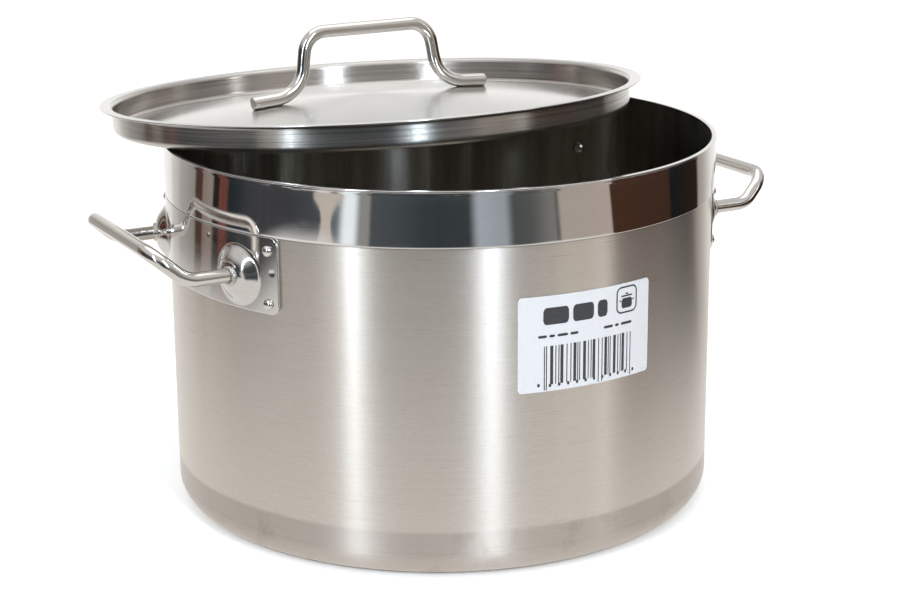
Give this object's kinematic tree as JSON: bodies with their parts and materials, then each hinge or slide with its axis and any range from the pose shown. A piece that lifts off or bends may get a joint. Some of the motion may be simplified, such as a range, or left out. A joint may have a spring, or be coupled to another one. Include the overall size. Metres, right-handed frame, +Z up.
{
  "type": "stock pot",
  "caption": "Straight-sided stainless stock pot with clad base, polished rim band, riveted bar side handles and a loose inset lid with a bar handle.",
  "frame": {"origin": "centre of the flat underside, on the pot's axis", "axes": "+Z up along the pot's axis, X through the two side handles, -Y towards the front, where the sticker is"},
  "size_m": [0.407, 0.3973, 0.2725],
  "materials": {
    "brushed_body": "stainless steel, brushed round the pot",
    "brushed_base": "stainless steel, brushed round the pot, a little darker",
    "polished_band": "mirror-polished stainless steel",
    "polished_plate": "polished pressed stainless steel",
    "satin_lid": "spun stainless steel, fine grain round the lid",
    "handle_rod": "polished round stainless bar",
    "weld_bead": "ground weld bead",
    "rivet": "polished domed rivet head",
    "base_core": "rolled aluminium plate",
    "label_paper": null
  },
  "bodies": {
    "pot": {"pot_shell": "brushed_body", "rim_band": "polished_band", "base_core": "base_core", "base_cap": "brushed_base", "label": "label_paper", "handle_plate_right": "polished_plate", "side_handle_right": "handle_rod", "weld_collar_right_front": "weld_bead", "rivet_right_front_upper": "rivet", "rivet_right_front_lower": "rivet", "weld_collar_right_back": "weld_bead", "rivet_right_back_upper": "rivet", "rivet_right_back_lower": "rivet", "handle_plate_left": "polished_plate", "side_handle_left": "handle_rod", "weld_collar_left_front": "weld_bead", "rivet_left_front_upper": "rivet", "rivet_left_front_lower": "rivet", "weld_collar_left_back": "weld_bead", "rivet_left_back_upper": "rivet", "rivet_left_back_lower": "rivet"},
    "lid": {"lid_pan": "satin_lid", "lid_handle": "handle_rod"}
  },
  "joints": [
    {"name": "lid_lift", "type": "slide", "parent": "pot", "child": "lid", "axis": [0, 0, 1], "range_m": [0, 0.25]}
  ]
}
